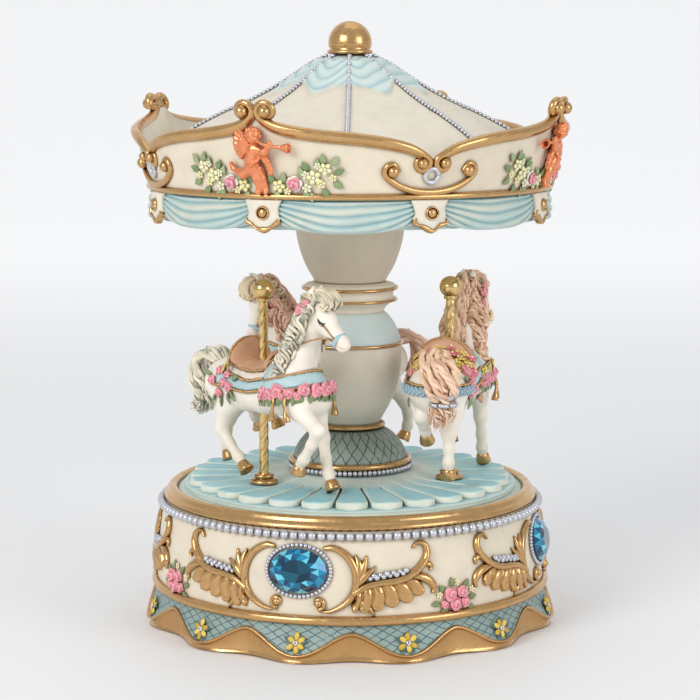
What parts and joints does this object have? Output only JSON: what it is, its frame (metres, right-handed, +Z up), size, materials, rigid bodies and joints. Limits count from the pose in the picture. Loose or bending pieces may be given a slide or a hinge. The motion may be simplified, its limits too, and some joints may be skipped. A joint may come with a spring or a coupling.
{
  "type": "carousel music box",
  "caption": "Painted resin carousel music box: a jewelled drum with a wind-up movement, a petal turntable with horses on poles, an urn column and a tent canopy.",
  "frame": {"origin": "centre of the base's underside, on the surface it stands on", "axes": "+Z up along the carousel's axis, -Y towards the front as pictured, +X to the viewer's right"},
  "size_m": [0.156, 0.1592, 0.215],
  "materials": {
    "cream_paint": "painted cast resin, satin",
    "blue_paint": "painted cast resin, washed aqua blue",
    "green_paint": "painted cast resin, grey-green with a lattice",
    "gold_paint": "gold paint on cast resin",
    "copper_paint": "copper paint on cast resin",
    "horse_paint": "painted cast resin, satin",
    "pearl": "silver pearl paint",
    "jewel_glass": "faceted blue stone, foil backed",
    "brass": "polished",
    "steel": "bright",
    "zinc": "as cast",
    "board": "pressed board, bare"
  },
  "bodies": {
    "base": {"skirt_plinth": "blue_paint", "drum_casing": "cream_paint", "rim_pearl_string": "pearl", "jewel_1": "jewel_glass", "jewel_2": "jewel_glass", "jewel_3": "jewel_glass", "jewel_4": "jewel_glass", "jewel_bezel_1": "pearl", "jewel_bezel_2": "pearl", "jewel_bezel_3": "pearl", "jewel_bezel_4": "pearl", "bottom_board": "board", "board_screw_1": "steel", "board_screw_2": "steel", "board_screw_3": "steel", "movement_bedplate": "zinc", "tuned_comb": "steel", "comb_screw_1": "steel", "comb_screw_2": "steel", "governor_bracket": "zinc", "spindle_bush": "brass"},
    "carousel": {"turntable": "blue_paint", "canopy_valance": "blue_paint", "vase_body": "cream_paint", "vase_collar": "cream_paint", "upper_bowl": "cream_paint", "canopy_roof": "cream_paint", "canopy_band": "cream_paint", "pedestal_dome": "green_paint", "pedestal_pearl_string": "pearl", "mainspring": "steel", "drive_spindle": "steel", "centre_rod": "steel", "spring_barrel": "brass", "turntable_hub": "brass", "pole_1": "brass", "pole_2": "brass", "pole_3": "brass", "pole_ball_1": "brass", "pole_ball_2": "brass", "pole_ball_3": "brass", "finial": "gold_paint", "pole_foot_1": "gold_paint", "pole_foot_2": "gold_paint", "pole_foot_3": "gold_paint", "horse_1": "horse_paint", "horse_2": "horse_paint", "horse_3": "horse_paint", "cherub_1": "copper_paint", "cherub_2": "copper_paint", "cherub_3": "copper_paint", "cherub_4": "copper_paint"},
    "winding": {"winding_key": "brass", "winding_arbor": "steel"},
    "cylinder": {"pin_cylinder": "brass"},
    "governor_gear": {"governor_wheel": "steel"},
    "governor_fan": {"governor_fly": "steel"}
  },
  "joints": [
    {"name": "carousel_spin", "type": "hinge", "parent": "base", "child": "carousel", "pos_m": [0, 0, 0.0432], "axis": [0, 0, 1], "continuous": true},
    {"name": "key_spin", "type": "hinge", "parent": "base", "child": "winding", "pos_m": [0, 0, 0.0132], "axis": [0, 0, 1], "continuous": true},
    {"name": "cylinder_spin", "type": "hinge", "parent": "base", "child": "cylinder", "pos_m": [0.03, 0, 0.028], "axis": [1, 0, 0], "continuous": true},
    {"name": "governor_gear_spin", "type": "hinge", "parent": "base", "child": "governor_gear", "pos_m": [0.0452, 0.01, 0.028], "axis": [1, 0, 0], "continuous": true},
    {"name": "governor_fan_spin", "type": "hinge", "parent": "base", "child": "governor_fan", "pos_m": [0.0462, 0.01685, 0.028], "axis": [0, 0, 1], "continuous": true}
  ],
  "couplings": [
    {"joint": "cylinder_spin", "follows": "carousel_spin", "ratio": 2},
    {"joint": "governor_gear_spin", "follows": "carousel_spin", "ratio": -8},
    {"joint": "governor_fan_spin", "follows": "carousel_spin", "ratio": 160}
  ]
}
